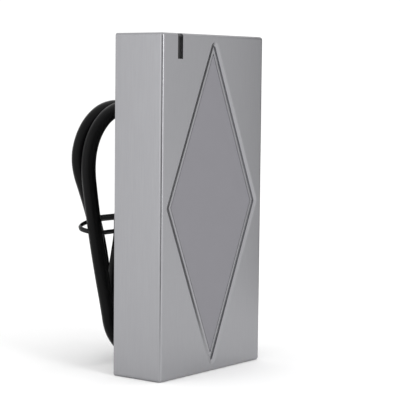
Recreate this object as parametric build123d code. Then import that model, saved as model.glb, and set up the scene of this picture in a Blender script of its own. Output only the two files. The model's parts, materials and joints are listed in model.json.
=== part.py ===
from build123d import *
import math
import os

# A wall-mounted card reader: a die-cast zinc housing with a diamond radio window, a light strip,
# the electronics behind it, a steel wall bracket inside its back, and a cable tied in a hank.
# It stands on its lower end. X is to the right seen from the front, Y runs from the front face
# to the wall, and Z is up. The origin is at the middle of the footprint. All sizes are in mm.

# ---------------------------------------------------------------- housing
BODY_WIDTH = 59.0
BODY_HEIGHT = 120.0
BODY_DEPTH = 21.0
CORNER_RADIUS = 1.0
FRONT_EDGE_RADIUS = 1.1
FACE_WALL = 2.6
RIM_WALL = 2.0
SEAL_LEDGE = 1.5
BOTTOM_WALL = 4.0
BAY_HEIGHT = 5.5
BAY_DEPTH = 9.5
DIVIDER_WALL = 2.0
BOSS_RADIUS = 3.4
BOSS_FROM_END = 12.5
BOSS_WALL_OVERLAP = 0.2
POST_RADIUS = 2.2
POST_SPACING_Z = 52.0

# ---------------------------------------------------------------- diamond recess and window
RECESS_SIDE_MARGIN = 2.7
RECESS_END_OVERRUN = 0.7
RECESS_DEPTH = 0.8
RECESS_CORNER_RADIUS = 2.2
RECESS_BAND_WIDTH = 3.12
RECESS_SLOPE_WIDTH = 1.5
RECESS_SLOPE_DEPTH = 0.35
RECESS_LIP_TOLERANCE = 0.02
RECESS_END_CLEARANCE = 0.5
WINDOW_GAP = 0.2
WINDOW_FLANGE_LAP = 1.5
WINDOW_FLANGE_THICKNESS = 1.0
WINDOW_SEAL_THICKNESS = 0.5

# ---------------------------------------------------------------- light strip
STRIP_CENTRE_FROM_LEFT = 9.7
STRIP_WIDTH = 2.8
STRIP_LENGTH = 8.8
STRIP_WRAP = 4.0
STRIP_GAP = 0.05
STRIP_SINK = 0.25
STRIP_RIDGE = 0.25
STRIP_FLANGE = 0.9
LIGHT_GUIDE_LENGTH = 2.5

# ---------------------------------------------------------------- electronics
COIL_POST_GAP = 2.1
COIL_LENGTH = 57.0
COIL_WINDING = 1.6
FORMER_WALL = 1.2
FORMER_HEIGHT = 3.4
FORMER_FLANGE = 0.7
FORMER_GAP = 0.4
COIL_OUTER_CORNER = 6.5
COIL_INNER_CORNER = 5.0
BOARD_THICKNESS = 1.6
BOARD_GAP = 0.4
LED_SIZE = (2.0, 0.8, 1.25)
LED_SPACING = 2.2
FOOT_RISE = 1.0
# Legged chips on the back of the board: x, z, width, length, height, legs a side, leg pitch.
MICROCONTROLLER = (-11.0, 74.0, 7.0, 7.0, 1.5, 8, 0.8)
RADIO_CHIP = (0.0, 88.0, 4.0, 8.7, 1.5, 7, 1.27)
VOLTAGE_REGULATOR = (-14.0, 42.0, 3.6, 6.6, 1.7, 3, 2.3)
LEG_SIZE = (1.0, 0.5, 0.4)
CHIP_EDGE = 0.15
CRYSTAL_PLACE = (-11.0, 88.0)
CRYSTAL_SIZE = (11.0, 4.6, 3.4)
CRYSTAL_EDGE = 0.5
CAPACITOR_XS = (-16.0, -8.0)
CAPACITOR_Z = 27.0
CAPACITOR_FOOT = (6.6, 1.0)
CAPACITOR_CAN = (3.1, 5.2)
RESISTOR_XS = (6.0, 9.0)
RESISTOR_ZS = (80.0, 82.4, 84.8, 87.2)
RESISTOR_SIZE = (2.0, 1.25, 0.6)
BUZZER_PLACE = (12.0, 30.0)
BUZZER_SIZE = (6.0, 5.0)
BUZZER_EDGE = 0.6
BUZZER_SOUND_HOLE = (1.0, 1.0)
HEADER_BELOW_EXIT = 15.0
HEADER_HEIGHT = 7.0
HEADER_HALF_WIDTH = 6.4
HEADER_DEPTH = 4.8
HEADER_WALL = 0.8
PLUG_GAP = 0.1
PLUG_LENGTH = 9.0
WIRE_DIAMETER = 1.1
WIRE_PITCH = 2.4
WIRE_START_PITCH = 1.25
WIRE_ROWS = ((0.45, 0.7), (1.9, -0.7))

# ---------------------------------------------------------------- back cover and its screws
COVER_THICKNESS = 1.8
COVER_CORNER = 1.0
COVER_GAP = 0.2
COVER_SEAL_THICKNESS = 0.6
COVER_SCREW_RADIUS = 1.25
COVER_SCREW_LENGTH = 10.0
COVER_SCREW_HEAD = (2.4, 1.6)
BOARD_SCREW_RADIUS = 1.0
BOARD_SCREW_LENGTH = 5.0
BOARD_SCREW_HEAD = (1.9, 1.3)
THREAD_GAP = 0.03
SCREW_HOLE_GAP = 0.2

# ---------------------------------------------------------------- wall bracket
BRACKET_THICKNESS = 1.2
BRACKET_GAP = 0.5
WALL_SCREW_HEAD_ROOM = 2.7
GANG_BOX_SPACING = 83.3
ROUND_BOX_SPACING = 60.0
WALL_HOLE_RADIUS = 2.1
CABLE_WINDOW_WIDTH = 22.0
CABLE_WINDOW_HEIGHT = 24.0
HOOK_WIDTH = 8.0
HOOK_SPACING = 30.0
HOOK_REACH = 0.9
HOOK_GAP = 0.3
LIP_WIDTH = 14.0
LIP_REACH = 8.9
LIP_GAP = 0.4

# ---------------------------------------------------------------- locking screw
LOCK_RADIUS = 1.5
LOCK_FROM_BACK = 5.5
LOCK_HEAD_RADIUS = 2.75
LOCK_HEAD_HEIGHT = 1.8
LOCK_HEAD_SINK = 0.3
LOCK_HEAD_GAP = 0.3
LOCK_SHANK = 6.5
LOCK_FIT = 0.05
LOCK_HEX_FLATS = 2.5
LOCK_HEX_DEPTH = 1.2
LOCK_PIN_RADIUS = 0.45
SEAL_RING_THICKNESS = 0.8
NUT_FLANGE_RADIUS = 3.2
NUT_SHANK_RADIUS = 2.3
NUT_HEIGHT = 2.2

# ---------------------------------------------------------------- tamper switch
TAMPER_X = 15.0
TAMPER_Z = 70.0
TAMPER_TRAVEL = 1.5
PLUNGER_RADIUS = 1.5
PLUNGER_FIT = 0.06
PLUNGER_COLLAR = (2.7, 0.9)
PLUNGER_NOSE_RADIUS = 0.9
PLUNGER_NOSE_LENGTH = 1.6
SWITCH_SIZE = (6.0, 2.6, 6.0)
SPRING_WIRE = 0.3
SPRING_TURNS = 2.2

# ---------------------------------------------------------------- cable
CABLE_DIAMETER = 5.3
CABLE_EXIT_Z = 66.0
GROMMET_NECK_RADIUS = 5.0
GROMMET_FLANGE_RADIUS = 6.2
GROMMET_FLANGE = 1.2
GROMMET_TIP_RADIUS = 3.5
GROMMET_TAIL = 4.2
LEAD_DIAMETER = 1.2
LEAD_TIP_LENGTH = 5.0
LEAD_TIP_RADIUS = 0.35
SLEEVE_LENGTH = 9.0
SLEEVE_WALL = 0.35

# The hank stands on its lower end behind the reader and leans away from it.
HANK_X = 3.3
HANK_Y = 30.0
HANK_HEIGHT = 99.0
HANK_THICKNESS = 13.5
HANK_TOP_RADIUS = 24.0
HANK_LOW_RADIUS = 18.5
HANK_EDGE_RADIUS = 5.0
HANK_LEAN = 5.5
TIE_HEIGHT = 49.5
TIE_WIDTH = 2.6
TIE_THICKNESS = 1.0
TIE_TILT = 14.0
TIE_GAP = 0.2
TIE_TAIL_LENGTH = 14.0
TIE_TAIL_RADIUS = 1.1

# ---------------------------------------------------------------- planes that pieces share
FRONT = -BODY_DEPTH / 2
BACK = BODY_DEPTH / 2
MID_Z = BODY_HEIGHT / 2
RECESS_FLOOR = FRONT + RECESS_DEPTH
FACE_INSIDE = FRONT + FACE_WALL
RIM_HALF_WIDTH = BODY_WIDTH / 2 - RIM_WALL
RIM_TOP = BODY_HEIGHT - RIM_WALL
CAVITY_HALF_WIDTH = RIM_HALF_WIDTH - SEAL_LEDGE
CAVITY_TOP = RIM_TOP - SEAL_LEDGE
BAY_TOP = BOTTOM_WALL + BAY_HEIGHT
CAVITY_BOTTOM = BAY_TOP + DIVIDER_WALL
RIM_BOTTOM = CAVITY_BOTTOM - SEAL_LEDGE
BRACKET_FRONT = BACK - BRACKET_THICKNESS
COVER_BACK = BRACKET_FRONT - WALL_SCREW_HEAD_ROOM
COVER_FRONT = COVER_BACK - COVER_THICKNESS
LEDGE_Y = COVER_FRONT - COVER_SEAL_THICKNESS
COVER_MID_Z = (RIM_TOP + RIM_BOTTOM) / 2
WINDOW_BACK = FACE_INSIDE + WINDOW_SEAL_THICKNESS + WINDOW_FLANGE_THICKNESS
FORMER_FRONT = WINDOW_BACK + FORMER_GAP
BOARD_FRONT = FORMER_FRONT + FORMER_HEIGHT
BOARD_BACK = BOARD_FRONT + BOARD_THICKNESS
BOSS_X = CAVITY_HALF_WIDTH - BOSS_RADIUS + BOSS_WALL_OVERLAP
COIL_WIDTH = 2 * (BOSS_X - POST_RADIUS - COIL_POST_GAP)
STRIP_X = STRIP_CENTRE_FROM_LEFT - BODY_WIDTH / 2
STRIP_BOTTOM = BODY_HEIGHT - STRIP_LENGTH
LOCK_Y = BACK - LOCK_FROM_BACK
LOCK_HEAD_TOP = LOCK_HEAD_SINK + LOCK_HEAD_HEIGHT
SEAL_RING_TOP = LOCK_HEAD_TOP + SEAL_RING_THICKNESS
LIP_BOTTOM = BOTTOM_WALL + LIP_GAP
LIP_TOP = LIP_BOTTOM + BRACKET_THICKNESS
EXIT_Y = COVER_BACK + GROMMET_FLANGE + GROMMET_TAIL
CABLE_RADIUS = CABLE_DIAMETER / 2
CABLE_INNER_END = COVER_FRONT - GROMMET_FLANGE - 0.4
HEADER_Z = CABLE_EXIT_Z - HEADER_BELOW_EXIT
PLUG_Z = HEADER_Z + HEADER_WALL + PLUG_GAP
COLLAR_BACK = COVER_FRONT - PLUNGER_FIT
COLLAR_FRONT = COLLAR_BACK - PLUNGER_COLLAR[1]
SWITCH_BACK = BOARD_BACK + SWITCH_SIZE[1]


# ---------------------------------------------------------------- routes
# The cable's way from the grommet into the hank, and from the hank to its end on the floor.
LEAD_IN_ROUTE = [
    (0, EXIT_Y, CABLE_EXIT_Z),
    (0, 18.0, CABLE_EXIT_Z),
    (-0.6, 24.5, 64.2),
    (-1.6, 29.9, 60.0),
    (-2.4, 33.6, 54.0),
]
TAIL_ROUTE = [
    (6.0, 28.8, 2.8),
    (14.0, 26.4, 2.8),
    (22.5, 26.0, 2.8),
    (30.5, 28.6, 3.0),
    (37.5, 33.0, 3.1),
]
LEAD_ROUTES = {
    "red": [
        (38.40, 31.55, 3.81), (42.64, 34.21, 3.87), (50.49, 36.26, 3.00),
        (59.5, 37.2, 0.65), (69.6, 39.8, 0.65),
    ],
    "black": [
        (38.42, 31.56, 2.39), (42.65, 34.22, 2.45), (50.05, 37.16, 1.20),
        (59.6, 39.5, 0.65), (69.2, 43.6, 0.65),
    ],
    "green": [
        (37.86, 32.39, 4.81), (42.09, 35.05, 4.87), (48.56, 37.86, 2.44),
        (57.4, 41.4, 0.65), (66.1, 46.6, 0.65),
    ],
    "white": [
        (37.89, 32.41, 1.39), (42.13, 35.07, 1.45), (48.57, 39.04, 1.47),
        (56.0, 43.2, 0.65), (65.6, 49.9, 0.65),
    ],
    "blue": [
        (37.14, 33.61, 1.39), (41.37, 36.27, 1.45), (46.89, 39.82, 1.47),
        (54.9, 45.4, 0.65), (63.8, 52.6, 0.65),
    ],
    "brown": [
        (37.11, 33.59, 4.81), (41.34, 36.25, 4.87), (46.90, 41.31, 2.44),
        (53.6, 47.7, 0.65), (61.8, 55.4, 0.65),
    ],
    "yellow": [
        (36.60, 34.45, 2.39), (40.83, 37.11, 2.45), (45.77, 41.93, 1.20),
        (51.9, 49.4, 0.65), (59.0, 57.6, 0.65),
    ],
    "grey": [
        (36.58, 34.44, 3.81), (40.82, 37.10, 3.87), (44.70, 42.43, 3.00),
        (49.9, 50.6, 0.65), (55.9, 60.2, 0.65),
    ],
}


def block(x0, x1, y0, y1, z0, z1):
    """A plain box between two corners."""
    return Pos(x0, y0, z0) * Box(
        x1 - x0, y1 - y0, z1 - z0, align=(Align.MIN, Align.MIN, Align.MIN)
    )


def facing(shape_2d, y0, y1, x=0.0, z=0.0):
    """A flat outline drawn as seen from the front, made solid from y0 back to y1."""
    plane = Plane((x, y0, z), x_dir=(1, 0, 0), z_dir=(0, -1, 0))
    return extrude(plane * shape_2d, amount=-(y1 - y0))


def rod(radius, y0, y1, x=0.0, z=0.0):
    """A round bar along Y."""
    return facing(Circle(radius), y0, y1, x, z)


def upright(radius, z0, z1, x=0.0, y=0.0):
    """A round bar along Z."""
    return Pos(x, y, z0) * Cylinder(radius, z1 - z0, align=(Align.CENTER, Align.CENTER, Align.MIN))


def panel(half_width, z0, z1, y0, y1, radius):
    """A rounded plate centred on X, between two heights."""
    outline = RectangleRounded(2 * half_width, z1 - z0, radius)
    return facing(outline, y0, y1, 0, (z0 + z1) / 2)


def diamond(half_width, half_height, radius):
    """The upright diamond outline with softened corners."""
    corners = [(half_width, 0), (0, half_height), (-half_width, 0), (0, -half_height)]
    outline = make_face(Polyline(*corners, close=True))
    return fillet(outline.vertices(), radius)


def grown(half_width, half_height, offset):
    """Half sizes of a diamond whose sides stand this much further out."""
    reach = half_width * half_height / math.hypot(half_width, half_height)
    scale = (reach + offset) / reach
    return half_width * scale, half_height * scale


RECESS_HALF_WIDTH = BODY_WIDTH / 2 - RECESS_SIDE_MARGIN
RECESS_HALF_HEIGHT = BODY_HEIGHT / 2 + RECESS_END_OVERRUN
WINDOW_HALF_WIDTH, WINDOW_HALF_HEIGHT = grown(
    RECESS_HALF_WIDTH, RECESS_HALF_HEIGHT, -RECESS_BAND_WIDTH
)


def save(shape, node):
    export_step(shape, f"parts/{node}.step")


def group(solids):
    """Several separate solids kept as one sub-part."""
    return Compound(children=list(solids))


# ---------------------------------------------------------------- paths of cables and leads
def bend_radii(points):
    """At each corner, the largest arc that leaves a short straight piece of both runs."""
    radii = []
    for before, corner, after in zip(points, points[1:], points[2:]):
        run_in = Vector(*corner) - Vector(*before)
        run_out = Vector(*after) - Vector(*corner)
        turn = math.radians(run_in.get_angle(run_out))
        radii.append(0.45 * min(run_in.length, run_out.length) / math.tan(turn / 2))
    return radii


def tube(points, diameter, label=None):
    """A round tube along straight runs joined by tangent arcs."""
    radii = bend_radii(points)
    path = FilletPolyline(*points, radius=radii)
    section = Plane(points[0], z_dir=path % 0) * Circle(diameter / 2)
    solid = sweep(section, path=path)
    if label:
        ideal = math.pi * diameter**2 / 4 * path.length
        print(label, "radii", [round(r, 1) for r in radii])
        print(label, "length", round(path.length, 1), "volume", round(solid.volume, 1))
        print(label, "section times length", round(ideal, 1))
    return solid


# ================================================================ housing
BOSSES = [
    (side * BOSS_X, z)
    for side in (-1, 1)
    for z in (CAVITY_BOTTOM + BOSS_FROM_END, CAVITY_TOP - BOSS_FROM_END)
]
POSTS = [
    (side * BOSS_X, COVER_MID_Z + end * POST_SPACING_Z / 2)
    for side in (-1, 1)
    for end in (-1, 1)
]


def housing_shell():
    outer = facing(
        RectangleRounded(BODY_WIDTH, BODY_HEIGHT, CORNER_RADIUS), FRONT, BACK, 0, MID_Z
    )
    front_edges = outer.faces().sort_by(Axis.Y)[0].edges()
    shell = fillet(front_edges, FRONT_EDGE_RADIUS)
    shell -= block(
        -CAVITY_HALF_WIDTH, CAVITY_HALF_WIDTH, FACE_INSIDE, BACK, CAVITY_BOTTOM, CAVITY_TOP
    )
    shell -= panel(RIM_HALF_WIDTH, RIM_BOTTOM, RIM_TOP, LEDGE_Y, BACK, COVER_CORNER)
    shell -= block(
        -RIM_HALF_WIDTH, RIM_HALF_WIDTH, BACK - BAY_DEPTH, BACK, BOTTOM_WALL, BAY_TOP
    )
    shell -= panel(RIM_HALF_WIDTH, BOTTOM_WALL, RIM_TOP, COVER_BACK, BACK, COVER_CORNER)
    return shell


def screw_towers():
    """Four bosses for the cover screws and four shorter posts for the board."""
    towers = []
    for x, z in BOSSES:
        pilot = rod(
            COVER_SCREW_RADIUS + THREAD_GAP,
            COVER_BACK - COVER_SCREW_LENGTH - 1.0,
            COVER_FRONT,
            x,
            z,
        )
        towers.append(rod(BOSS_RADIUS, FACE_INSIDE, COVER_FRONT, x, z) - pilot)
    for x, z in POSTS:
        pilot = rod(
            BOARD_SCREW_RADIUS + THREAD_GAP,
            BOARD_BACK - BOARD_SCREW_LENGTH - 0.6,
            BOARD_FRONT,
            x,
            z,
        )
        towers.append(rod(POST_RADIUS, FACE_INSIDE, BOARD_FRONT, x, z) - pilot)
    return towers


def recess_lip(shell):
    """The edges where the diamond recess meets the front face."""
    end = BODY_HEIGHT / 2 - FRONT_EDGE_RADIUS
    lip = []
    for edge in shell.edges():
        at = edge.center()
        across = abs(at.X) / RECESS_HALF_WIDTH + abs(at.Z - MID_Z) / RECESS_HALF_HEIGHT
        inside = across < 1 + RECESS_LIP_TOLERANCE and abs(at.Z - MID_Z) < end - RECESS_END_CLEARANCE
        if abs(at.Y - FRONT) < 0.001 and inside:
            lip.append(edge)
    return lip


def make_housing():
    shell = housing_shell()
    shell += screw_towers()
    recess = grown(RECESS_HALF_WIDTH, RECESS_HALF_HEIGHT, -RECESS_SLOPE_WIDTH)
    recess_radius = RECESS_CORNER_RADIUS - RECESS_SLOPE_WIDTH
    shell -= facing(diamond(*recess, recess_radius), FRONT, RECESS_FLOOR, 0, MID_Z)
    face = shell.faces().filter_by(Axis.Y).sort_by(Axis.Y)[0]
    shell = chamfer(recess_lip(shell), RECESS_SLOPE_WIDTH, RECESS_SLOPE_DEPTH, reference=face)
    pocket = grown(WINDOW_HALF_WIDTH, WINDOW_HALF_HEIGHT, WINDOW_GAP)
    shell -= facing(diamond(*pocket, WINDOW_GAP), RECESS_FLOOR, FACE_INSIDE, 0, MID_Z)
    shell -= block(
        STRIP_X - STRIP_WIDTH / 2,
        STRIP_X + STRIP_WIDTH / 2,
        FRONT,
        FRONT + STRIP_WRAP,
        STRIP_BOTTOM,
        BODY_HEIGHT,
    )
    for side in (-1, 1):
        x = side * HOOK_SPACING / 2
        half = HOOK_WIDTH / 2 + HOOK_GAP
        shell -= block(
            x - half,
            x + half,
            BRACKET_FRONT - BRACKET_THICKNESS - HOOK_GAP,
            BRACKET_FRONT + HOOK_GAP,
            RIM_TOP,
            RIM_TOP + HOOK_REACH + HOOK_GAP,
        )
    shell -= upright(LOCK_HEAD_RADIUS + LOCK_HEAD_GAP, 0, SEAL_RING_TOP, 0, LOCK_Y)
    shell -= upright(LOCK_RADIUS + SCREW_HOLE_GAP, SEAL_RING_TOP, BOTTOM_WALL, 0, LOCK_Y)
    return shell


# ================================================================ diamond window and its seal
def inside_cavity(gap, y0, y1):
    return block(
        gap - CAVITY_HALF_WIDTH,
        CAVITY_HALF_WIDTH - gap,
        y0,
        y1,
        CAVITY_BOTTOM + gap,
        CAVITY_TOP - gap,
    )


def make_window():
    plug = facing(
        diamond(WINDOW_HALF_WIDTH, WINDOW_HALF_HEIGHT, WINDOW_GAP),
        RECESS_FLOOR,
        FACE_INSIDE,
        0,
        MID_Z,
    )
    seal_back = FACE_INSIDE + WINDOW_SEAL_THICKNESS
    neck = facing(
        diamond(WINDOW_HALF_WIDTH, WINDOW_HALF_HEIGHT, WINDOW_GAP), FACE_INSIDE, seal_back, 0, MID_Z
    )
    size = grown(WINDOW_HALF_WIDTH, WINDOW_HALF_HEIGHT, WINDOW_FLANGE_LAP)
    flange = facing(diamond(*size, WINDOW_FLANGE_LAP), seal_back, WINDOW_BACK, 0, MID_Z)
    window = plug + (neck & inside_cavity(BOARD_GAP, FACE_INSIDE, seal_back))
    return window + (flange & inside_cavity(BOARD_GAP, seal_back, WINDOW_BACK))


def make_window_seal():
    seal_back = FACE_INSIDE + WINDOW_SEAL_THICKNESS
    outer = grown(WINDOW_HALF_WIDTH, WINDOW_HALF_HEIGHT, WINDOW_FLANGE_LAP)
    inner = grown(WINDOW_HALF_WIDTH, WINDOW_HALF_HEIGHT, WINDOW_GAP)
    ring = facing(diamond(*outer, WINDOW_FLANGE_LAP), FACE_INSIDE, seal_back, 0, MID_Z)
    ring -= facing(diamond(*inner, WINDOW_GAP), FACE_INSIDE, seal_back, 0, MID_Z)
    return ring & inside_cavity(BOARD_GAP, FACE_INSIDE, seal_back)


# ================================================================ light strip
def make_light_pipe():
    """The smoked bar in its slot: its front is a shallow ridge, and it turns over the top edge."""
    half = STRIP_WIDTH / 2 - STRIP_GAP
    ridge_y = FRONT + STRIP_SINK
    back_y = FRONT + STRIP_WRAP - STRIP_GAP
    outline = Polyline(
        (STRIP_X - half, ridge_y + STRIP_RIDGE),
        (STRIP_X, ridge_y),
        (STRIP_X + half, ridge_y + STRIP_RIDGE),
        (STRIP_X + half, back_y),
        (STRIP_X - half, back_y),
        close=True,
    )
    length = STRIP_LENGTH - STRIP_GAP - STRIP_SINK
    bar = Pos(0, 0, STRIP_BOTTOM + STRIP_GAP) * extrude(make_face(outline), amount=length)
    top_edges = bar.faces().sort_by(Axis.Z)[-1].edges().filter_by(
        lambda e: e.center().Y < ridge_y + STRIP_RIDGE
    )
    bar = chamfer(top_edges, FRONT_EDGE_RADIUS - STRIP_SINK)
    foot_bottom = STRIP_BOTTOM + FOOT_RISE
    foot_top = CAVITY_TOP - BOARD_GAP
    flange = block(
        STRIP_X - half - STRIP_FLANGE,
        STRIP_X + half + STRIP_FLANGE,
        FACE_INSIDE,
        FACE_INSIDE + STRIP_FLANGE,
        foot_bottom,
        foot_top,
    )
    guide = block(
        STRIP_X - half,
        STRIP_X + half,
        FACE_INSIDE,
        FRONT + STRIP_WRAP + LIGHT_GUIDE_LENGTH,
        foot_bottom,
        foot_top,
    )
    return bar + flange + guide


def make_led(step):
    """One chip of the indicator on the board, under the light pipe's foot."""
    width, height, length = LED_SIZE
    foot_mid = (STRIP_BOTTOM + FOOT_RISE + CAVITY_TOP - BOARD_GAP) / 2
    z = foot_mid + step * LED_SPACING / 2
    return block(
        STRIP_X - width / 2,
        STRIP_X + width / 2,
        BOARD_FRONT - height,
        BOARD_FRONT,
        z - length / 2,
        z + length / 2,
    )


# ================================================================ board, coil and chips
def make_board():
    board = panel(
        CAVITY_HALF_WIDTH - BOARD_GAP,
        CAVITY_BOTTOM + BOARD_GAP,
        CAVITY_TOP - BOARD_GAP,
        BOARD_FRONT,
        BOARD_BACK,
        COVER_CORNER,
    )
    for x, z in BOSSES:
        board -= rod(BOSS_RADIUS + BOARD_GAP, BOARD_FRONT, BOARD_BACK, x, z)
    for x, z in POSTS:
        board -= rod(BOARD_SCREW_RADIUS + SCREW_HOLE_GAP, BOARD_FRONT, BOARD_BACK, x, z)
    return board


def racetrack(width, length, radius, y0, y1):
    return facing(RectangleRounded(width, length, radius), y0, y1, 0, MID_Z)


def make_coil_former():
    core_w = COIL_WIDTH - 2 * COIL_WINDING
    core_l = COIL_LENGTH - 2 * COIL_WINDING
    former = racetrack(core_w, core_l, COIL_INNER_CORNER, FORMER_FRONT, BOARD_FRONT)
    for y in (FORMER_FRONT, BOARD_FRONT - FORMER_FLANGE):
        former += racetrack(COIL_WIDTH, COIL_LENGTH, COIL_OUTER_CORNER, y, y + FORMER_FLANGE)
    bore_w = core_w - 2 * FORMER_WALL
    bore_l = core_l - 2 * FORMER_WALL
    corner = COIL_INNER_CORNER - FORMER_WALL
    return former - racetrack(bore_w, bore_l, corner, FORMER_FRONT, BOARD_FRONT)


def make_antenna_coil():
    y0 = FORMER_FRONT + FORMER_FLANGE
    y1 = BOARD_FRONT - FORMER_FLANGE
    width = COIL_WIDTH - BOARD_GAP
    length = COIL_LENGTH - BOARD_GAP
    winding = racetrack(width, length, COIL_OUTER_CORNER - BOARD_GAP / 2, y0, y1)
    core_w = COIL_WIDTH - 2 * COIL_WINDING
    core_l = COIL_LENGTH - 2 * COIL_WINDING
    return winding - racetrack(core_w, core_l, COIL_INNER_CORNER, y0, y1)


def chip(x, z, width, length, height):
    """A moulded package on the back of the board, with its top edges eased."""
    body = block(
        x - width / 2, x + width / 2, BOARD_BACK, BOARD_BACK + height, z - length / 2, z + length / 2
    )
    return chamfer(body.faces().sort_by(Axis.Y)[-1].edges(), CHIP_EDGE)


def make_legged_chip(x, z, width, length, height, legs, pitch):
    """A package with gull-wing legs down its two long sides."""
    leg_length, leg_height, leg_width = LEG_SIZE
    body = chip(x, z, width, length, height)
    for side in (-1, 1):
        leg_x = x + side * (width / 2 + leg_length / 2 - 0.1)
        for i in range(legs):
            leg_z = z + (i - (legs - 1) / 2) * pitch
            body += block(
                leg_x - leg_length / 2,
                leg_x + leg_length / 2,
                BOARD_BACK,
                BOARD_BACK + leg_height,
                leg_z - leg_width / 2,
                leg_z + leg_width / 2,
            )
    return body


def make_crystal():
    length, width, height = CRYSTAL_SIZE
    outline = SlotOverall(length, width)
    can = facing(outline, BOARD_BACK, BOARD_BACK + height, *CRYSTAL_PLACE)
    return fillet(can.faces().sort_by(Axis.Y)[-1].edges(), CRYSTAL_EDGE)


def make_capacitors():
    side, foot_height = CAPACITOR_FOOT
    radius, height = CAPACITOR_CAN
    cans = []
    for x in CAPACITOR_XS:
        foot = chip(x, CAPACITOR_Z, side, side, foot_height)
        can = rod(radius, BOARD_BACK + foot_height, BOARD_BACK + height, x, CAPACITOR_Z)
        cans.append(foot + can)
    return group(cans)


def make_chip_resistors():
    return group(chip(x, z, *RESISTOR_SIZE) for x in RESISTOR_XS for z in RESISTOR_ZS)


def make_buzzer():
    radius, height = BUZZER_SIZE
    hole_radius, hole_depth = BUZZER_SOUND_HOLE
    top = BOARD_BACK + height
    body = rod(radius, BOARD_BACK, top, *BUZZER_PLACE)
    body = fillet(body.faces().sort_by(Axis.Y)[-1].edges(), BUZZER_EDGE)
    return body - rod(hole_radius, top - hole_depth, top, *BUZZER_PLACE)


def make_header():
    z0 = HEADER_Z
    z1 = HEADER_Z + HEADER_HEIGHT
    body = block(
        -HEADER_HALF_WIDTH, HEADER_HALF_WIDTH, BOARD_BACK, BOARD_BACK + HEADER_DEPTH, z0, z1
    )
    half = HEADER_HALF_WIDTH - HEADER_WALL
    return body - block(
        -half,
        half,
        BOARD_BACK + HEADER_WALL / 2,
        BOARD_BACK + HEADER_DEPTH - HEADER_WALL,
        z0 + HEADER_WALL,
        z1,
    )


def make_lead_plug():
    half = HEADER_HALF_WIDTH - HEADER_WALL - PLUG_GAP
    return block(
        -half,
        half,
        BOARD_BACK + HEADER_WALL / 2 + PLUG_GAP,
        BOARD_BACK + HEADER_DEPTH - HEADER_WALL - PLUG_GAP,
        PLUG_Z,
        PLUG_Z + PLUG_LENGTH,
    )


def make_inner_leads():
    """Two rows of four wires from the cable's inner end down to the plug on the board."""
    plug_top = PLUG_Z + PLUG_LENGTH
    wires = []
    for depth, rise in WIRE_ROWS:
        start_z = CABLE_EXIT_Z + rise
        for i in range(4):
            x0 = (i - 1.5) * WIRE_START_PITCH
            x1 = (i - 1.5) * WIRE_PITCH
            path = FilletPolyline(
                (x0, CABLE_INNER_END, start_z),
                (x0, depth, start_z),
                (x1, depth, plug_top + 1.5),
                (x1, depth, plug_top),
                radius=0.6,
            )
            section = Plane(path @ 0, z_dir=path % 0) * Circle(WIRE_DIAMETER / 2)
            wires.append(sweep(section, path=path))
    return group(wires)


# ================================================================ back cover, seal and screws
def make_cover():
    cover = panel(
        RIM_HALF_WIDTH - COVER_GAP,
        RIM_BOTTOM + COVER_GAP,
        RIM_TOP - COVER_GAP,
        COVER_FRONT,
        COVER_BACK,
        COVER_CORNER,
    )
    for x, z in BOSSES:
        cover -= rod(COVER_SCREW_RADIUS + SCREW_HOLE_GAP, COVER_FRONT, COVER_BACK, x, z)
    cover -= rod(GROMMET_NECK_RADIUS, COVER_FRONT, COVER_BACK, 0, CABLE_EXIT_Z)
    return cover - rod(
        PLUNGER_RADIUS + PLUNGER_FIT, COVER_FRONT, COVER_BACK, TAMPER_X, TAMPER_Z
    )


def make_cover_seal():
    ring = panel(
        RIM_HALF_WIDTH - COVER_GAP,
        RIM_BOTTOM + COVER_GAP,
        RIM_TOP - COVER_GAP,
        LEDGE_Y,
        COVER_FRONT,
        COVER_CORNER,
    )
    ring -= block(
        -CAVITY_HALF_WIDTH, CAVITY_HALF_WIDTH, LEDGE_Y, COVER_FRONT, CAVITY_BOTTOM, CAVITY_TOP
    )
    for x, z in BOSSES:
        ring -= rod(BOSS_RADIUS, LEDGE_Y, COVER_FRONT, x, z)
    return ring


def pan_screw(seat, radius, length, head, x, z):
    """A cross-slotted pan head screw whose head lies on the plane y = seat."""
    head_radius, head_height = head
    top = rod(head_radius, seat, seat + head_height, x, z)
    top = fillet(top.faces().sort_by(Axis.Y)[-1].edges(), head_height / 3)
    slot_depth = head_height / 2
    for width, height in ((head_radius * 1.2, 0.5), (0.5, head_radius * 1.2)):
        top -= facing(
            Rectangle(width, height), seat + head_height - slot_depth, seat + head_height, x, z
        )
    return top + rod(radius, seat - length, seat, x, z)


def make_cover_screws():
    return group(
        pan_screw(COVER_BACK, COVER_SCREW_RADIUS, COVER_SCREW_LENGTH, COVER_SCREW_HEAD, x, z)
        for x, z in BOSSES
    )


def make_board_screws():
    return group(
        pan_screw(BOARD_BACK, BOARD_SCREW_RADIUS, BOARD_SCREW_LENGTH, BOARD_SCREW_HEAD, x, z)
        for x, z in POSTS
    )


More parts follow.
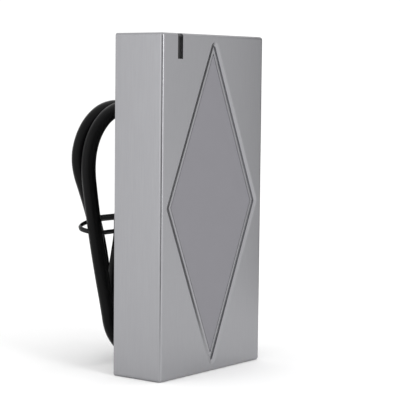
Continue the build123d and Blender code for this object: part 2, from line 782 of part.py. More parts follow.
# ================================================================ wall bracket, nut and locking screw
def make_bracket():
    plate = panel(
        RIM_HALF_WIDTH - BRACKET_GAP,
        BAY_TOP - BRACKET_GAP,
        RIM_TOP - BRACKET_GAP,
        BRACKET_FRONT,
        BACK,
        COVER_CORNER,
    )
    for spacing in (GANG_BOX_SPACING, ROUND_BOX_SPACING):
        for end in (-1, 1):
            plate -= rod(WALL_HOLE_RADIUS, BRACKET_FRONT, BACK, 0, MID_Z + end * spacing / 2)
    plate -= facing(
        RectangleRounded(CABLE_WINDOW_WIDTH, CABLE_WINDOW_HEIGHT, 3.0),
        BRACKET_FRONT,
        BACK,
        0,
        CABLE_EXIT_Z - 2.0,
    )
    plate -= rod(PLUNGER_RADIUS + 0.6, BRACKET_FRONT, BACK, TAMPER_X, TAMPER_Z)
    for side in (-1, 1):
        x = side * HOOK_SPACING / 2
        plate += block(
            x - HOOK_WIDTH / 2,
            x + HOOK_WIDTH / 2,
            BRACKET_FRONT - BRACKET_THICKNESS,
            BRACKET_FRONT,
            RIM_TOP - BRACKET_GAP - 4.0,
            RIM_TOP + HOOK_REACH,
        )
    half = LIP_WIDTH / 2
    plate += block(-half, half, BRACKET_FRONT, BACK, LIP_BOTTOM, BAY_TOP)
    lip = block(-half, half, BACK - LIP_REACH, BACK, LIP_BOTTOM, LIP_TOP)
    lip -= upright(NUT_SHANK_RADIUS, LIP_BOTTOM, LIP_TOP, 0, LOCK_Y)
    bracket = plate + lip
    fold = bracket.edges().filter_by(Axis.X).filter_by(
        lambda e: e.center().Z < LIP_BOTTOM + 0.01 and e.center().Y > BACK - 0.01
    )
    return fillet(fold, BRACKET_THICKNESS * 0.8)


def make_bracket_nut():
    nut = upright(NUT_SHANK_RADIUS, LIP_BOTTOM, LIP_TOP, 0, LOCK_Y)
    nut += upright(NUT_FLANGE_RADIUS, LIP_TOP, LIP_TOP + NUT_HEIGHT, 0, LOCK_Y)
    bore = upright(LOCK_RADIUS + LOCK_FIT, LIP_BOTTOM, LIP_TOP + NUT_HEIGHT, 0, LOCK_Y)
    return nut - bore


def make_locking_screw():
    head = upright(LOCK_HEAD_RADIUS, LOCK_HEAD_SINK, LOCK_HEAD_TOP, 0, LOCK_Y)
    head = fillet(head.faces().sort_by(Axis.Z)[0].edges(), 0.4)
    socket = RegularPolygon(LOCK_HEX_FLATS / 2, 6, major_radius=False)
    hole = extrude(Pos(0, LOCK_Y, LOCK_HEAD_SINK) * socket, amount=LOCK_HEX_DEPTH)
    pin = upright(LOCK_PIN_RADIUS, LOCK_HEAD_SINK, LOCK_HEAD_SINK + LOCK_HEX_DEPTH, 0, LOCK_Y)
    shank = upright(LOCK_RADIUS, LOCK_HEAD_TOP, LOCK_HEAD_TOP + LOCK_SHANK, 0, LOCK_Y)
    shank = chamfer(shank.faces().sort_by(Axis.Z)[-1].edges(), 0.4)
    return head - hole + pin + shank


def make_screw_seal():
    ring = upright(LOCK_HEAD_RADIUS, LOCK_HEAD_TOP, SEAL_RING_TOP, 0, LOCK_Y)
    return ring - upright(LOCK_RADIUS + LOCK_FIT, LOCK_HEAD_TOP, SEAL_RING_TOP, 0, LOCK_Y)


# ================================================================ tamper switch, plunger and spring
def make_tamper_switch():
    width, height, length = SWITCH_SIZE
    body = chip(TAMPER_X, TAMPER_Z, width, length, height)
    well = rod(
        PLUNGER_NOSE_RADIUS + 0.3, BOARD_BACK + 0.4, SWITCH_BACK, TAMPER_X, TAMPER_Z
    )
    return body - well


def make_tamper_plunger():
    pin = rod(PLUNGER_RADIUS, COLLAR_BACK, BACK + TAMPER_TRAVEL, TAMPER_X, TAMPER_Z)
    pin = fillet(pin.faces().sort_by(Axis.Y)[-1].edges(), 0.5)
    collar = rod(PLUNGER_COLLAR[0], COLLAR_FRONT, COLLAR_BACK, TAMPER_X, TAMPER_Z)
    nose = rod(
        PLUNGER_NOSE_RADIUS, COLLAR_FRONT - PLUNGER_NOSE_LENGTH, COLLAR_FRONT, TAMPER_X, TAMPER_Z
    )
    return pin + collar + nose


def make_tamper_spring():
    """A short coil spring between the switch's top and the plunger's collar."""
    rise = COLLAR_FRONT - SWITCH_BACK - SPRING_WIRE
    radius = PLUNGER_COLLAR[0] - 0.45
    helix = Helix(pitch=rise / SPRING_TURNS, height=rise, radius=radius)
    wire = sweep(
        Plane(helix @ 0, z_dir=helix % 0) * Circle(SPRING_WIRE / 2), path=helix, is_frenet=True
    )
    place = Plane(
        (TAMPER_X, SWITCH_BACK + SPRING_WIRE / 2, TAMPER_Z), x_dir=(1, 0, 0), z_dir=(0, 1, 0)
    )
    return place.location * wire


# ================================================================ cable, grommet, hank and leads
def make_grommet():
    """The rubber sleeve that grips the cover's hole and tapers along the cable."""
    inner_end = COVER_FRONT - GROMMET_FLANGE
    outer_end = COVER_BACK + GROMMET_FLANGE
    profile = Polyline(
        (CABLE_RADIUS, inner_end),
        (GROMMET_FLANGE_RADIUS, inner_end),
        (GROMMET_FLANGE_RADIUS, COVER_FRONT),
        (GROMMET_NECK_RADIUS, COVER_FRONT),
        (GROMMET_NECK_RADIUS, COVER_BACK),
        (GROMMET_FLANGE_RADIUS, COVER_BACK),
        (GROMMET_FLANGE_RADIUS, outer_end),
        (GROMMET_NECK_RADIUS, outer_end),
        (GROMMET_TIP_RADIUS, EXIT_Y),
        (CABLE_RADIUS, EXIT_Y),
        close=True,
    )
    sleeve = revolve(make_face(profile), Axis.Y)
    return Pos(0, 0, CABLE_EXIT_Z) * sleeve


def make_cable_entry():
    return rod(CABLE_RADIUS, CABLE_INNER_END, EXIT_Y, 0, CABLE_EXIT_Z)


def on_lean(shape):
    """Turns a piece of the upright hank about its foot and puts it behind the reader."""
    return Pos(HANK_X, HANK_Y, HANK_FOOT_LIFT) * Rot(X=-HANK_LEAN) * shape


# Leaning turns the lower back edge down, so the hank stands this much higher.
HANK_FOOT_LIFT = (HANK_THICKNESS / 2 - HANK_EDGE_RADIUS) * math.sin(
    math.radians(HANK_LEAN)
) + HANK_LOW_RADIUS * (1 - math.cos(math.radians(HANK_LEAN)))


def make_hank():
    low = Pos(0, HANK_LOW_RADIUS) * Circle(HANK_LOW_RADIUS)
    top = Pos(0, HANK_HEIGHT - HANK_TOP_RADIUS) * Circle(HANK_TOP_RADIUS)
    outline = make_hull(low.edges() + top.edges())
    slab = facing(outline, -HANK_THICKNESS / 2, HANK_THICKNESS / 2)
    return on_lean(fillet(slab.edges(), HANK_EDGE_RADIUS))


def hank_half_width(height):
    """Half the hank's width on its straight flank."""
    span = HANK_HEIGHT - HANK_TOP_RADIUS - HANK_LOW_RADIUS
    slope = math.asin((HANK_TOP_RADIUS - HANK_LOW_RADIUS) / span)
    return (HANK_LOW_RADIUS + (height - HANK_LOW_RADIUS) * math.sin(slope)) / math.cos(slope)


def make_twist_tie():
    """A flat strip round the middle of the hank, with its twisted ends at the back."""
    tilt = math.radians(TIE_TILT)
    half = hank_half_width(TIE_HEIGHT + HANK_THICKNESS * math.sin(tilt)) + TIE_GAP
    depth = HANK_THICKNESS / math.cos(tilt) + TIE_WIDTH * math.tan(tilt) + 2 * TIE_GAP
    grow = 2 * TIE_THICKNESS
    outer = RectangleRounded(2 * half + grow, depth + grow, HANK_EDGE_RADIUS)
    inner = RectangleRounded(2 * half, depth, HANK_EDGE_RADIUS - TIE_THICKNESS)
    band = extrude(outer - inner, amount=TIE_WIDTH / 2, both=True)
    twist = Pos(0, depth / 2 + TIE_THICKNESS / 2 + TIE_TAIL_RADIUS / 2, 0) * Rot(Y=75)
    band += twist * Cylinder(TIE_TAIL_RADIUS, TIE_TAIL_LENGTH)
    return on_lean(Pos(0, 0, TIE_HEIGHT) * Rot(X=TIE_TILT) * band)


def make_cable_lead_in(hank):
    return tube(LEAD_IN_ROUTE, CABLE_DIAMETER, "cable_lead_in") - hank


def make_cable_tail(hank):
    return tube(TAIL_ROUTE, CABLE_DIAMETER, "cable_tail") - hank


def make_end_sleeve():
    """Heat-shrink over the last of the jacket and the first of the leads."""
    cut = Vector(*TAIL_ROUTE[-1])
    along = (cut - Vector(*TAIL_ROUTE[-2])).normalized()
    start = Plane(cut - along * SLEEVE_LENGTH / 2, z_dir=along)
    ring = Circle(CABLE_RADIUS + SLEEVE_WALL) - Circle(CABLE_RADIUS)
    return extrude(start * ring, amount=SLEEVE_LENGTH)


def make_lead_tips():
    """The tinned ends of the leads, in line with where each lead stops."""
    tips = []
    for route in LEAD_ROUTES.values():
        end = Vector(*route[-1])
        along = (end - Vector(*route[-2])).normalized()
        tips.append(extrude(Plane(end, z_dir=along) * Circle(LEAD_TIP_RADIUS), LEAD_TIP_LENGTH))
    return group(tips)


# ================================================================ writing the sub-parts
NODES = {
    "front_housing": make_housing,
    "diamond_window": make_window,
    "window_seal": make_window_seal,
    "light_pipe": make_light_pipe,
    "led_red": lambda: make_led(-1),
    "led_green": lambda: make_led(1),
    "circuit_board": make_board,
    "coil_former": make_coil_former,
    "antenna_coil": make_antenna_coil,
    "microcontroller": lambda: make_legged_chip(*MICROCONTROLLER),
    "radio_chip": lambda: make_legged_chip(*RADIO_CHIP),
    "voltage_regulator": lambda: make_legged_chip(*VOLTAGE_REGULATOR),
    "crystal": make_crystal,
    "capacitors": make_capacitors,
    "chip_resistors": make_chip_resistors,
    "buzzer": make_buzzer,
    "board_header": make_header,
    "lead_plug": make_lead_plug,
    "inner_leads": make_inner_leads,
    "board_screws": make_board_screws,
    "back_cover": make_cover,
    "cover_seal": make_cover_seal,
    "cover_screws": make_cover_screws,
    "wall_bracket": make_bracket,
    "bracket_nut": make_bracket_nut,
    "locking_screw": make_locking_screw,
    "screw_seal": make_screw_seal,
    "tamper_switch": make_tamper_switch,
    "tamper_plunger": make_tamper_plunger,
    "tamper_spring": make_tamper_spring,
    "cable_grommet": make_grommet,
    "cable_entry": make_cable_entry,
    "twist_tie": make_twist_tie,
    "end_sleeve": make_end_sleeve,
    "lead_tips": make_lead_tips,
}

os.makedirs("parts", exist_ok=True)

for node, make in NODES.items():
    save(make(), node)

hank = make_hank()
save(hank, "cable_hank")
save(make_cable_lead_in(hank), "cable_lead_in")
save(make_cable_tail(hank), "cable_tail")

for colour, route in LEAD_ROUTES.items():
    save(tube(route, LEAD_DIAMETER, f"lead_{colour}"), f"lead_{colour}")
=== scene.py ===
import json
import math

import bmesh
import bpy
from mathutils import Matrix, Vector


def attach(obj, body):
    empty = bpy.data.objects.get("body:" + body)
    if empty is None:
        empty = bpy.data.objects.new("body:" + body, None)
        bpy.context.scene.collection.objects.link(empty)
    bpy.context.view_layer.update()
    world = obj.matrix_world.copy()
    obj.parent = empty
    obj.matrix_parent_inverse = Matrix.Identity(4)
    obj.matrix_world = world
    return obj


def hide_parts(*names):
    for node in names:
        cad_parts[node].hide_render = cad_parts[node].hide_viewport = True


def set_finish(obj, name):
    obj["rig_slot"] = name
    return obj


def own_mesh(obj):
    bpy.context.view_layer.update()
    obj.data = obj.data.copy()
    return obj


# A wall-mounted card reader and its cable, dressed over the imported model. Metres, Z up, X to the
# right seen from the front, Y from the front face to the wall.
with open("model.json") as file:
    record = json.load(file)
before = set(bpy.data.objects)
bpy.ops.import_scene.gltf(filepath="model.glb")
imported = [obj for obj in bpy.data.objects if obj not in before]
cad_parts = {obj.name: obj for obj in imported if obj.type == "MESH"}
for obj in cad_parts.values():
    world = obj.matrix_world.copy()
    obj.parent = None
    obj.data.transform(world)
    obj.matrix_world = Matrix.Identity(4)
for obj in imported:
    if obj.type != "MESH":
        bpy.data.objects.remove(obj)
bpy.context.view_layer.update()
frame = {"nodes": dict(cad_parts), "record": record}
MM = 0.001
MERGE_DISTANCE = 1e-6
RECORD_SLOTS = {part["node"]: part["material_slot"] for part in frame["record"]["subparts"]}


# ---------------------------------------------------------------- small helpers
def linear(hex_colour):
    """An sRGB hex colour as the linear RGBA that a shader takes."""
    parts = [int(hex_colour[i:i + 2], 16) / 255 for i in (1, 3, 5)]
    return [p / 12.92 if p <= 0.04045 else ((p + 0.055) / 1.055) ** 2.4 for p in parts] + [1.0]


def add_node(tree, kind, inputs=None, **settings):
    """Adds a shader node, sets its properties, and fills or links its inputs."""
    node = tree.nodes.new(kind)
    for name, value in settings.items():
        setattr(node, name, value)
    for name, value in (inputs or {}).items():
        if isinstance(value, bpy.types.NodeSocket):
            tree.links.new(value, node.inputs[name])
        else:
            node.inputs[name].default_value = value
    return node


def link_piece(name, data):
    piece = bpy.data.objects.new(name, data)
    bpy.context.scene.collection.objects.link(piece)
    return piece


# ---------------------------------------------------------------- camera
AZIMUTH = math.radians(-52.71)
ELEVATION = math.radians(4.52)
ROLL = math.radians(0.6)
CAMERA_DISTANCE = 0.5515
LENS = 135.1
SENSOR_WIDTH = 36
CLIP_START = 0.01
AIM = (0.0119, 0.0105, 0.0603)


def make_camera():
    """The camera stands to the left of the reader, a little above its middle."""
    away = Vector((
        math.sin(AZIMUTH) * math.cos(ELEVATION),
        -math.cos(AZIMUTH) * math.cos(ELEVATION),
        math.sin(ELEVATION),
    ))
    right = (-away).cross(Vector((0, 0, 1))).normalized()
    up = right.cross(-away)
    target = right * AIM[0] + Vector((0, AIM[1], 0)) + up * AIM[2]
    across = right * math.cos(ROLL) + up * math.sin(ROLL)
    upward = up * math.cos(ROLL) - right * math.sin(ROLL)
    camera = link_piece("camera", bpy.data.cameras.new("camera"))
    camera.data.lens = LENS
    camera.data.sensor_width = SENSOR_WIDTH
    camera.data.clip_start = CLIP_START
    turn = Matrix((across, upward, away)).transposed().to_4x4()
    camera.matrix_world = Matrix.Translation(target + away * CAMERA_DISTANCE) @ turn
    bpy.context.scene.camera = camera


make_camera()

# ---------------------------------------------------------------- cable and leads
CABLE_DIAMETER = 5.3
LEAD_DIAMETER = 1.2
EXIT_Y = 12.0
CABLE_EXIT_Z = 66.0
CABLE_START = (0, EXIT_Y, CABLE_EXIT_Z)

# From the grommet into the hank, and down its first side.
LEAD_IN_ROUTE = [
    CABLE_START,
    (0, 18.0, CABLE_EXIT_Z),
    (-0.6, 24.5, 64.2),
    (-1.3, 29.6, 60.0),
    (-1.0, 31.8, 54.0),
    (-0.9, 31.8, 47.0),
    (-2.9, 31.3, 40.5),
    (-4.8, 31.0, 34.0),
]
# From the hank along the floor to the cable's cut end.
TAIL_ROUTE = [
    (6.0, 28.8, 2.8),
    (14.0, 26.4, 2.8),
    (22.5, 26.0, 2.8),
    (30.5, 28.6, 3.0),
    (37.5, 33.0, 3.1),
]
# The hank's bends, low and high by turns: centre x and z, radius, depth where the cable comes in
# and goes out, how far the run that follows bows to the right, and the share of a half turn.
HANK_BENDS = [
    (6.4, 27.2, 11.9, 31.0, 36.4, 0.4, 1.0),
    (5.4, 73.0, 21.3, 40.2, 40.4, 3.2, 1.0),
    (12.2, 19.6, 13.8, 38.0, 32.9, 0.5, 1.0),
    (4.4, 72.8, 21.4, 33.9, 34.3, -1.0, 1.0),
    (5.0, 20.0, 17.2, 28.2, 28.4, 0.0, 0.42),
]
BEND_STEPS = 6
LAST_BEND_STEPS = 3
RUN_STEPS = 4
CORD_SMOOTHNESS = 10
CORD_ROUNDNESS = 7
LEAD_ROUTES = {
    "red": [
        (38.40, 31.55, 3.81), (42.64, 34.21, 3.87), (50.49, 36.26, 3.00),
        (59.5, 37.2, 0.65), (69.6, 39.8, 0.65),
    ],
    "black": [
        (38.42, 31.56, 2.39), (42.65, 34.22, 2.45), (50.05, 37.16, 1.20),
        (59.6, 39.5, 0.65), (69.2, 43.6, 0.65),
    ],
    "green": [
        (37.86, 32.39, 4.81), (42.09, 35.05, 4.87), (48.56, 37.86, 2.44),
        (57.4, 41.4, 0.65), (66.1, 46.6, 0.65),
    ],
    "white": [
        (37.89, 32.41, 1.39), (42.13, 35.07, 1.45), (48.57, 39.04, 1.47),
        (56.0, 43.2, 0.65), (65.6, 49.9, 0.65),
    ],
    "blue": [
        (37.14, 33.61, 1.39), (41.37, 36.27, 1.45), (46.89, 39.82, 1.47),
        (54.9, 45.4, 0.65), (63.8, 52.6, 0.65),
    ],
    "brown": [
        (37.11, 33.59, 4.81), (41.34, 36.25, 4.87), (46.90, 41.31, 2.44),
        (53.6, 47.7, 0.65), (61.8, 55.4, 0.65),
    ],
    "yellow": [
        (36.60, 34.45, 2.39), (40.83, 37.11, 2.45), (45.77, 41.93, 1.20),
        (51.9, 49.4, 0.65), (59.0, 57.6, 0.65),
    ],
    "grey": [
        (36.58, 34.44, 3.81), (40.82, 37.10, 3.87), (44.70, 42.43, 3.00),
        (49.9, 50.6, 0.65), (55.9, 60.2, 0.65),
    ],
}


def hank_points():
    """The turns of the hank: half circles at its two ends, joined by slightly bowed runs."""
    points = []
    for number, (x, z, radius, y_in, y_out, bow, share) in enumerate(HANK_BENDS):
        start = math.pi if number % 2 == 0 else 0.0
        last = number == len(HANK_BENDS) - 1
        steps = LAST_BEND_STEPS if last else BEND_STEPS
        for step in range(steps + 1):
            part = step / steps
            angle = start + math.pi * share * part
            y = y_in + (y_out - y_in) * part
            points.append((x + radius * math.cos(angle), y, z + radius * math.sin(angle)))
        if last:
            return points
        next_x, next_z, next_radius, next_y = HANK_BENDS[number + 1][:4]
        side = 1 if number % 2 == 0 else -1
        run_start = Vector(points[-1])
        run_end = Vector((next_x + side * next_radius, next_y, next_z))
        for step in range(1, RUN_STEPS):
            part = step / RUN_STEPS
            point = run_start.lerp(run_end, part)
            point.x += bow * math.sin(math.pi * part)
            points.append(tuple(point))


def make_line(name, points, diameter):
    """A round cord along a smooth curve drawn by its points, in mm."""
    curve = bpy.data.curves.new(name, "CURVE")
    curve.dimensions = "3D"
    curve.resolution_u = CORD_SMOOTHNESS
    curve.bevel_depth = diameter / 2
    curve.bevel_resolution = CORD_ROUNDNESS
    curve.use_fill_caps = True
    spline = curve.splines.new("NURBS")
    spline.points.add(len(points) - 1)
    for place, point in zip(spline.points, points):
        place.co = [c * MM for c in point] + [1.0]
        place.radius = MM
    spline.order_u = 3
    spline.use_endpoint_u = True
    return link_piece(name, curve)


cable = make_line("cable", LEAD_IN_ROUTE + hank_points() + TAIL_ROUTE, CABLE_DIAMETER)
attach(cable, "reader")
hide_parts("cable_lead_in", "cable_hank", "cable_tail")
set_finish(cable, "black_pvc")

leads = {}
for colour, route in LEAD_ROUTES.items():
    lead = make_line(f"lead_{colour}_insulation", route, LEAD_DIAMETER)
    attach(lead, "reader")
    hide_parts(f"lead_{colour}")
    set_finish(lead, f"lead_{colour}_pvc")
    leads[colour] = lead

# ---------------------------------------------------------------- twist tie
HANK_X = 3.3
HANK_Y = 30.0
HANK_LEAN = math.radians(5.5)
TIE_HEIGHT = 49.5
TIE_SMOOTHNESS = 8
TIE_TILT = math.radians(19.0)
TIE_WIDTH = 1.7
TIE_THICKNESS = 0.6
TIE_WIRE = 0.95
# Seen from above the tie, in its own plane: the strap's way round the four runs of the hank.
TIE_LOOP = [
    (-22.9, -0.6), (-19.6, -5.2), (-9.0, -4.9), (-2.0, -4.4), (8.0, -3.4), (17.5, -3.0),
    (24.5, -3.2), (26.6, 1.6), (24.9, 6.6), (14.0, 8.3), (2.0, 8.6), (-8.0, 8.4), (-15.0, 6.0),
    (-21.0, 3.2),
]


def tie_place():
    """From the tie's own plane to where it sits on the leaning hank."""
    hank = Matrix.Translation(Vector((HANK_X, HANK_Y, 0)) * MM) @ Matrix.Rotation(-HANK_LEAN, 4, "X")
    return hank @ Matrix.Translation((0, 0, TIE_HEIGHT * MM)) @ Matrix.Rotation(TIE_TILT, 4, "X")


def make_strap_profile():
    """The tie's section: a flat plastic strip, thinner at its edges, with a wire in its middle."""
    curve = bpy.data.curves.new("tie_section", "CURVE")
    curve.dimensions = "2D"
    half = TIE_WIDTH / 2
    thin = TIE_THICKNESS / 2
    wire = TIE_WIRE / 2
    outline = [
        (half, -thin * 0.4), (half, thin * 0.4), (half * 0.75, thin * 0.55), (wire, thin * 0.6),
        (wire * 0.6, wire * 0.9), (0, wire), (-wire * 0.6, wire * 0.9), (-wire, thin * 0.6),
        (-half * 0.75, thin * 0.55), (-half, thin * 0.4), (-half, -thin * 0.4),
        (-half * 0.75, -thin * 0.55), (-wire, -thin * 0.6), (-wire * 0.6, -wire * 0.9), (0, -wire),
        (wire * 0.6, -wire * 0.9), (wire, -thin * 0.6), (half * 0.75, -thin * 0.55),
    ]
    spline = curve.splines.new("POLY")
    spline.points.add(len(outline) - 1)
    for place, (x, y) in zip(spline.points, outline):
        place.co = (y * MM, x * MM, 0, 1)
    spline.use_cyclic_u = True
    return link_piece("tie_section", curve)


def settle_face_order(shape):
    """Puts the faces in the order of their vertices, because a spin leaves them in no set order."""
    shape.verts.index_update()
    faces = sorted(shape.faces, key=lambda face: sorted(v.index for v in face.verts))
    for place, face in enumerate(faces):
        face.index = place
    shape.faces.sort()


def make_twist_tie():
    section = make_strap_profile()
    curve = bpy.data.curves.new("tie_loop", "CURVE")
    curve.dimensions = "3D"
    curve.twist_mode = "Z_UP"
    curve.resolution_u = TIE_SMOOTHNESS
    curve.bevel_mode = "OBJECT"
    curve.bevel_object = section
    spline = curve.splines.new("NURBS")
    spline.points.add(len(TIE_LOOP) - 1)
    for place, (x, y) in zip(spline.points, TIE_LOOP):
        place.co = (x * MM, y * MM, 0, 1)
    spline.order_u = 3
    spline.use_cyclic_u = True
    loop = link_piece("tie_loop", curve)
    bpy.context.view_layer.update()
    mesh = bpy.data.meshes.new_from_object(loop.evaluated_get(bpy.context.evaluated_depsgraph_get()))
    mesh.name = "twist_tie_strap"
    for helper in (loop, section):
        bpy.data.objects.remove(helper)
    shape = bmesh.new()
    shape.from_mesh(mesh)
    add_twisted_ends(shape)
    bmesh.ops.remove_doubles(shape, verts=shape.verts, dist=MERGE_DISTANCE)
    settle_face_order(shape)
    bmesh.ops.recalc_face_normals(shape, faces=shape.faces)
    bmesh.ops.transform(shape, matrix=tie_place(), verts=shape.verts)
    shape.to_mesh(mesh)
    shape.free()
    mesh.shade_smooth()
    return link_piece("twist_tie_strap", mesh)


TWIST_START = (-4.0, 9.6, 0)
TWIST_RADIUS = 0.75
TWIST_PITCH = 3.2
TWIST_LENGTH = 13.0
TWIST_STEPS = 40
TAIL_WIDTH = 1.9
TAIL_FLATNESS = 0.42
TAIL_SEGMENTS = 10


def add_twisted_ends(shape):
    """The two ends of the strip, wound round each other at the back of the hank."""
    for side in (0, 1):
        ring = bmesh.ops.create_circle(
            shape, cap_ends=True, segments=TAIL_SEGMENTS, radius=TAIL_WIDTH / 2 * MM
        )["verts"]
        bmesh.ops.scale(shape, vec=(1, TAIL_FLATNESS, 1), verts=ring)
        bmesh.ops.rotate(shape, verts=ring, matrix=Matrix.Rotation(math.pi / 2, 3, "Y"))
        faces = [f for f in shape.faces if all(v in ring for v in f.verts)]
        phase = math.pi * side
        advance = TWIST_LENGTH / TWIST_STEPS * MM
        turn = 2 * math.pi * TWIST_LENGTH / TWIST_PITCH / TWIST_STEPS
        offset = Vector((0, math.cos(phase), math.sin(phase))) * TWIST_RADIUS * MM
        start = Vector(TWIST_START) * MM
        bmesh.ops.rotate(shape, verts=ring, matrix=Matrix.Rotation(phase, 3, "X"))
        bmesh.ops.translate(shape, verts=ring, vec=start + offset)
        edges = list(dict.fromkeys(e for f in faces for e in f.edges))
        bmesh.ops.spin(
            shape, geom=faces + edges + list(ring), cent=start, axis=(1, 0, 0),
            dvec=(advance, 0, 0), angle=turn * TWIST_STEPS, steps=TWIST_STEPS,
        )


twist_tie = make_twist_tie()
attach(twist_tie, "reader")
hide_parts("twist_tie")
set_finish(twist_tie, "tie_plastic")


def make_tamper_coil():
    """The tamper's spring, remade from the imported coil with its doubled points merged."""
    mesh = frame["nodes"]["tamper_spring"].data.copy()
    mesh.name = "tamper_coil"
    shape = bmesh.new()
    shape.from_mesh(mesh)
    bmesh.ops.remove_doubles(shape, verts=shape.verts, dist=MERGE_DISTANCE)
    bmesh.ops.recalc_face_normals(shape, faces=shape.faces)
    shape.to_mesh(mesh)
    shape.free()
    mesh.shade_smooth()
    coil = link_piece("tamper_coil", mesh)
    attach(coil, "reader")
    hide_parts("tamper_spring")
    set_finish(coil, "spring_steel")
    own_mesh(coil)
    return coil


tamper_coil = make_tamper_coil()


# ---------------------------------------------------------------- materials
def start_material(name):
    material = bpy.data.materials.new(name)
    material.use_nodes = True
    tree = material.node_tree
    tree.nodes.clear()
    return material, tree


def finish_material(tree, shader_inputs):
    shader = add_node(tree, "ShaderNodeBsdfPrincipled", shader_inputs)
    add_node(tree, "ShaderNodeOutputMaterial", {"Surface": shader.outputs["BSDF"]})


def grain(tree, size_mm, detail=3.0, stretch=(1, 1, 1), roughness=0.55):
    """Noise whose blotches are size_mm across, drawn out along the axes by stretch."""
    place = add_node(tree, "ShaderNodeTexCoord").outputs["Object"]
    scaled = add_node(
        tree, "ShaderNodeMapping", {"Vector": place, "Scale": [1 / s for s in stretch]}
    )
    return add_node(
        tree,
        "ShaderNodeTexNoise",
        {
            "Vector": scaled.outputs["Vector"],
            "Scale": 1 / (size_mm * MM),
            "Detail": detail,
            "Roughness": roughness,
        },
    ).outputs["Fac"]


def spread(tree, value, low, high):
    """Maps a noise value's middle range onto low to high."""
    return add_node(
        tree,
        "ShaderNodeMapRange",
        {"Value": value, "From Min": 0.3, "From Max": 0.7, "To Min": low, "To Max": high},
    ).outputs["Result"]


def blend_colours(tree, factor, first, second):
    mix = add_node(tree, "ShaderNodeMix", data_type="RGBA")
    colours = [s for s in mix.inputs if s.type == "RGBA"]
    tree.links.new(factor, mix.inputs[0])
    colours[0].default_value = linear(first)
    colours[1].default_value = linear(second)
    return [s for s in mix.outputs if s.type == "RGBA"][0]


def bump(tree, height, depth_mm):
    return add_node(
        tree, "ShaderNodeBump", {"Height": height, "Distance": depth_mm * MM, "Strength": 1.0}
    ).outputs["Normal"]


def satin_chromed_zinc():
    """Die-cast zinc, polished and plated satin: a soft grey mirror with very fine upright lines."""
    material, tree = start_material("satin_chromed_zinc")
    lines = grain(tree, 0.30, stretch=(1, 1, 30), detail=2.0)
    finish_material(tree, {
        "Base Color": blend_colours(tree, spread(tree, lines, 0, 1), "#97979a", "#9b9b9e"),
        "Metallic": 1.0,
        "Roughness": spread(tree, lines, 0.28, 0.32),
        "Normal": bump(tree, lines, 0.0010),
    })
    return material


def brushed_sheet(name, light, dark, rough, stretch):
    """Rolled or turned steel: fine lines one way from the sheet's brushing."""
    material, tree = start_material(name)
    lines = grain(tree, 0.25, stretch=stretch, detail=4.0)
    finish_material(tree, {
        "Base Color": blend_colours(tree, spread(tree, lines, 0, 1), dark, light),
        "Metallic": 1.0,
        "Roughness": spread(tree, lines, rough - 0.06, rough + 0.08),
        "Normal": bump(tree, lines, 0.003),
    })
    return material


def moulded(name, light, dark, rough, grain_mm=0.18, depth_mm=0.006, shine=0.5, ior=1.5):
    """A moulded or extruded plastic or rubber: spark-eroded grain and slightly uneven gloss."""
    material, tree = start_material(name)
    fine = grain(tree, grain_mm, detail=2.0)
    broad = grain(tree, 9.0, detail=1.0)
    finish_material(tree, {
        "Base Color": blend_colours(tree, spread(tree, broad, 0, 1), dark, light),
        "Roughness": spread(tree, broad, rough - 0.04, rough + 0.05),
        "IOR": ior,
        "Specular IOR Level": shine,
        "Normal": bump(tree, fine, depth_mm),
    })
    return material


WIRE_SPACING = 0.3
TRACK_WIDTH = 0.35
TRACK_LENGTH = 7.0
TRACK_SPACING = 2.5


def wound_copper():
    """Enamelled copper wire in close layers: a ridge for each turn, 0.3 mm apart, darker in the
    grooves (painted shade) and lighter on the crests (painted highlight).
    """
    material, tree = start_material("enamelled_copper_winding")
    place = add_node(tree, "ShaderNodeTexCoord").outputs["Object"]
    ridges_and_painted_shade = add_node(
        tree,
        "ShaderNodeTexWave",
        {"Vector": place, "Scale": 1 / (WIRE_SPACING * MM) / 2, "Distortion": 0.3},
        bands_direction="Y",
    ).outputs["Fac"]
    finish_material(tree, {
        # The colour follows the ridges: painted shade in the grooves between the turns, painted
        # highlight on their crests.
        "Base Color": blend_colours(tree, ridges_and_painted_shade, "#5e2410", "#c4703a"),
        "Metallic": 1.0,
        "Roughness": 0.3,
        "Coat Weight": 0.6,
        "Coat Roughness": 0.1,
        "Normal": bump(tree, ridges_and_painted_shade, 0.08),
    })
    return material


def solder_masked_board():
    """Glass-epoxy board under green solder mask, with the tracks raised beneath it."""
    material, tree = start_material("solder_masked_board")
    place = add_node(tree, "ShaderNodeTexCoord").outputs["Object"]
    turned = add_node(
        tree, "ShaderNodeMapping", {"Vector": place, "Rotation": (math.pi / 2, 0, 0)}
    )
    tracks = add_node(
        tree,
        "ShaderNodeTexBrick",
        {
            "Vector": turned.outputs["Vector"],
            "Color1": (1, 1, 1, 1),
            "Color2": (1, 1, 1, 1),
            "Mortar": (0, 0, 0, 1),
            "Scale": 1.0,
            "Mortar Size": TRACK_WIDTH * MM,
            "Brick Width": TRACK_LENGTH * MM,
            "Row Height": TRACK_SPACING * MM,
        },
    ).outputs["Fac"]
    finish_material(tree, {
        "Base Color": blend_colours(tree, tracks, "#0f4a26", "#2a7a45"),
        "Roughness": 0.32,
        "Normal": bump(tree, tracks, 0.035),
    })
    return material


def clear_tinted(name, tint):
    """Water-clear tinted resin over a lit chip."""
    material, tree = start_material(name)
    fine = grain(tree, 0.5, detail=1.0)
    finish_material(tree, {
        "Base Color": linear(tint),
        "Roughness": spread(tree, fine, 0.10, 0.2),
        "Transmission Weight": 0.35,
        "IOR": 1.53,
    })
    return material


